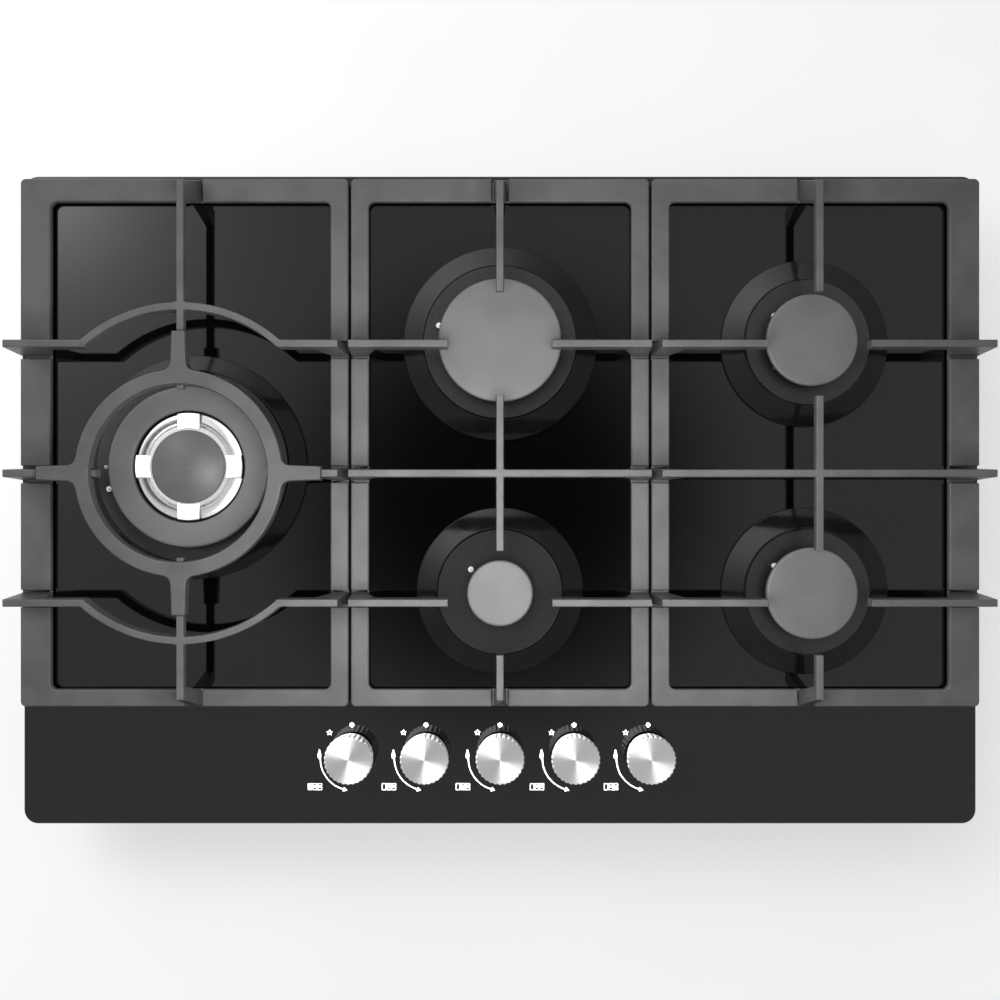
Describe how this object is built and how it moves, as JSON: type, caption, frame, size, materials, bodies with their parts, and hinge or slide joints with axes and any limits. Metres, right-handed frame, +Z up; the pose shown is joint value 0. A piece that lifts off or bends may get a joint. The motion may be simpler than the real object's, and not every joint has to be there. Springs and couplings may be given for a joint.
{
  "type": "gas cooktop",
  "caption": "Built-in gas cooktop: black glass panel with gas burners, cast iron pan supports, a wok ring and turn-and-push control knobs.",
  "frame": {"origin": "middle of the footprint, on the underside of the steel tray", "axes": "+X to the user's right along the long side, +Y to the rear, +Z up"},
  "size_m": [0.75, 0.51, 0.109],
  "materials": {
    "black_glass": "glossy black back-painted tempered glass, opaque",
    "seal_foam": "closed-cell foam tape",
    "tray_steel": "galvanised pressed sheet",
    "enamelled_iron": "matt black-grey enamel over a fine sand-cast grain",
    "foot_rubber": "moulded silicone rubber",
    "dish_enamel": "semi-gloss black enamel",
    "die_cast_base": "raw die-cast aluminium",
    "spreader_alloy": "heat-darkened turned aluminium",
    "cap_enamel": "satin dark grey enamel",
    "chrome_crown": "polished chrome plate",
    "knob_metal": "concentric spun face with a satin fluted rim",
    "spindle_steel": "drawn steel",
    "tap_brass": "machined brass",
    "pipe_alloy": "drawn aluminium tube",
    "ceramic": "glazed white ceramic",
    "thermocouple_copper": "copper sheathed probe and lead",
    "module_plastic": "moulded black plastic",
    "lead_silicone": "silicone insulated lead",
    "bracket_steel": "zinc plated steel"
  },
  "bodies": {
    "root": {"glass_panel": "black_glass", "worktop_seal": "seal_foam", "bottom_tray": "tray_steel", "wok_dish": "dish_enamel", "rear_centre_dish": "dish_enamel", "front_centre_dish": "dish_enamel", "rear_right_dish": "dish_enamel", "front_right_dish": "dish_enamel", "wok_base": "die_cast_base", "rear_centre_base": "die_cast_base", "front_centre_base": "die_cast_base", "rear_right_base": "die_cast_base", "front_right_base": "die_cast_base", "tap_bodies": "tap_brass", "knob_grommets": "foot_rubber", "gas_manifold": "pipe_alloy", "gas_inlet": "tap_brass", "burner_tubes": "pipe_alloy", "jets": "tap_brass", "spark_electrodes": "ceramic", "thermocouples": "thermocouple_copper", "ignition_module": "module_plastic", "ignition_leads": "lead_silicone", "worktop_clamps": "bracket_steel", "screws": "bracket_steel", "cable_gland": "module_plastic"},
    "left_support": {"left_pan_support": "enamelled_iron", "left_support_feet": "foot_rubber"},
    "centre_support": {"centre_pan_support": "enamelled_iron", "centre_support_feet": "foot_rubber"},
    "right_support": {"right_pan_support": "enamelled_iron", "right_support_feet": "foot_rubber"},
    "wok_ring_body": {"wok_ring": "enamelled_iron"},
    "wok_head": {"wok_spreader": "spreader_alloy", "wok_inner_crown": "chrome_crown"},
    "wok_outer_lid": {"wok_outer_cap": "cap_enamel"},
    "wok_inner_lid": {"wok_inner_cap": "cap_enamel"},
    "rear_centre_head": {"rear_centre_spreader": "spreader_alloy"},
    "rear_centre_lid": {"rear_centre_cap": "cap_enamel"},
    "front_centre_head": {"front_centre_spreader": "spreader_alloy"},
    "front_centre_lid": {"front_centre_cap": "cap_enamel"},
    "rear_right_head": {"rear_right_spreader": "spreader_alloy"},
    "rear_right_lid": {"rear_right_cap": "cap_enamel"},
    "front_right_head": {"front_right_spreader": "spreader_alloy"},
    "front_right_lid": {"front_right_cap": "cap_enamel"},
    "tap_1": {"tap_plug_1": "tap_brass"},
    "knob_1_assembly": {"knob_1": "knob_metal", "spindle_1": "spindle_steel"},
    "tap_2": {"tap_plug_2": "tap_brass"},
    "knob_2_assembly": {"knob_2": "knob_metal", "spindle_2": "spindle_steel"},
    "tap_3": {"tap_plug_3": "tap_brass"},
    "knob_3_assembly": {"knob_3": "knob_metal", "spindle_3": "spindle_steel"},
    "tap_4": {"tap_plug_4": "tap_brass"},
    "knob_4_assembly": {"knob_4": "knob_metal", "spindle_4": "spindle_steel"},
    "tap_5": {"tap_plug_5": "tap_brass"},
    "knob_5_assembly": {"knob_5": "knob_metal", "spindle_5": "spindle_steel"}
  },
  "joints": [
    {"name": "left_support_lift", "type": "slide", "parent": "root", "child": "left_support", "axis": [0, 0, 1], "range_m": [0, 0.06]},
    {"name": "centre_support_lift", "type": "slide", "parent": "root", "child": "centre_support", "axis": [0, 0, 1], "range_m": [0, 0.06]},
    {"name": "right_support_lift", "type": "slide", "parent": "root", "child": "right_support", "axis": [0, 0, 1], "range_m": [0, 0.06]},
    {"name": "wok_ring_lift", "type": "slide", "parent": "left_support", "child": "wok_ring_body", "axis": [0, 0, 1], "range_m": [0, 0.03]},
    {"name": "wok_head_lift", "type": "slide", "parent": "root", "child": "wok_head", "axis": [0, 0, 1], "range_m": [0, 0.0035]},
    {"name": "wok_outer_cap_lift", "type": "slide", "parent": "wok_head", "child": "wok_outer_lid", "axis": [0, 0, 1], "range_m": [0, 0.01]},
    {"name": "wok_inner_cap_lift", "type": "slide", "parent": "wok_head", "child": "wok_inner_lid", "axis": [0, 0, 1], "range_m": [0, 0.025]},
    {"name": "rear_centre_head_lift", "type": "slide", "parent": "root", "child": "rear_centre_head", "axis": [0, 0, 1], "range_m": [0, 0.0035]},
    {"name": "rear_centre_cap_lift", "type": "slide", "parent": "rear_centre_head", "child": "rear_centre_lid", "axis": [0, 0, 1], "range_m": [0, 0.0035]},
    {"name": "front_centre_head_lift", "type": "slide", "parent": "root", "child": "front_centre_head", "axis": [0, 0, 1], "range_m": [0, 0.0035]},
    {"name": "front_centre_cap_lift", "type": "slide", "parent": "front_centre_head", "child": "front_centre_lid", "axis": [0, 0, 1], "range_m": [0, 0.025]},
    {"name": "rear_right_head_lift", "type": "slide", "parent": "root", "child": "rear_right_head", "axis": [0, 0, 1], "range_m": [0, 0.0035]},
    {"name": "rear_right_cap_lift", "type": "slide", "parent": "rear_right_head", "child": "rear_right_lid", "axis": [0, 0, 1], "range_m": [0, 0.0035]},
    {"name": "front_right_head_lift", "type": "slide", "parent": "root", "child": "front_right_head", "axis": [0, 0, 1], "range_m": [0, 0.0035]},
    {"name": "front_right_cap_lift", "type": "slide", "parent": "front_right_head", "child": "front_right_lid", "axis": [0, 0, 1], "range_m": [0, 0.0035]},
    {"name": "knob_1_turn", "type": "hinge", "parent": "root", "child": "tap_1", "pos_m": [-0.1166, -0.2, 0.0225], "axis": [0, 0, 1], "range_deg": [0, 168]},
    {"name": "knob_1_push", "type": "slide", "parent": "tap_1", "child": "knob_1_assembly", "axis": [0, 0, -1], "range_m": [0, 0.003], "stiffness_N_per_m": 1500, "springref_m": -0.004},
    {"name": "knob_2_turn", "type": "hinge", "parent": "root", "child": "tap_2", "pos_m": [-0.0583, -0.2, 0.0225], "axis": [0, 0, 1], "range_deg": [0, 168]},
    {"name": "knob_2_push", "type": "slide", "parent": "tap_2", "child": "knob_2_assembly", "axis": [0, 0, -1], "range_m": [0, 0.003], "stiffness_N_per_m": 1500, "springref_m": -0.004},
    {"name": "knob_3_turn", "type": "hinge", "parent": "root", "child": "tap_3", "pos_m": [0, -0.2, 0.0225], "axis": [0, 0, 1], "range_deg": [0, 168]},
    {"name": "knob_3_push", "type": "slide", "parent": "tap_3", "child": "knob_3_assembly", "axis": [0, 0, -1], "range_m": [0, 0.003], "stiffness_N_per_m": 1500, "springref_m": -0.004},
    {"name": "knob_4_turn", "type": "hinge", "parent": "root", "child": "tap_4", "pos_m": [0.0583, -0.2, 0.0225], "axis": [0, 0, 1], "range_deg": [0, 168]},
    {"name": "knob_4_push", "type": "slide", "parent": "tap_4", "child": "knob_4_assembly", "axis": [0, 0, -1], "range_m": [0, 0.003], "stiffness_N_per_m": 1500, "springref_m": -0.004},
    {"name": "knob_5_turn", "type": "hinge", "parent": "root", "child": "tap_5", "pos_m": [0.1166, -0.2, 0.0225], "axis": [0, 0, 1], "range_deg": [0, 168]},
    {"name": "knob_5_push", "type": "slide", "parent": "tap_5", "child": "knob_5_assembly", "axis": [0, 0, -1], "range_m": [0, 0.003], "stiffness_N_per_m": 1500, "springref_m": -0.004}
  ]
}
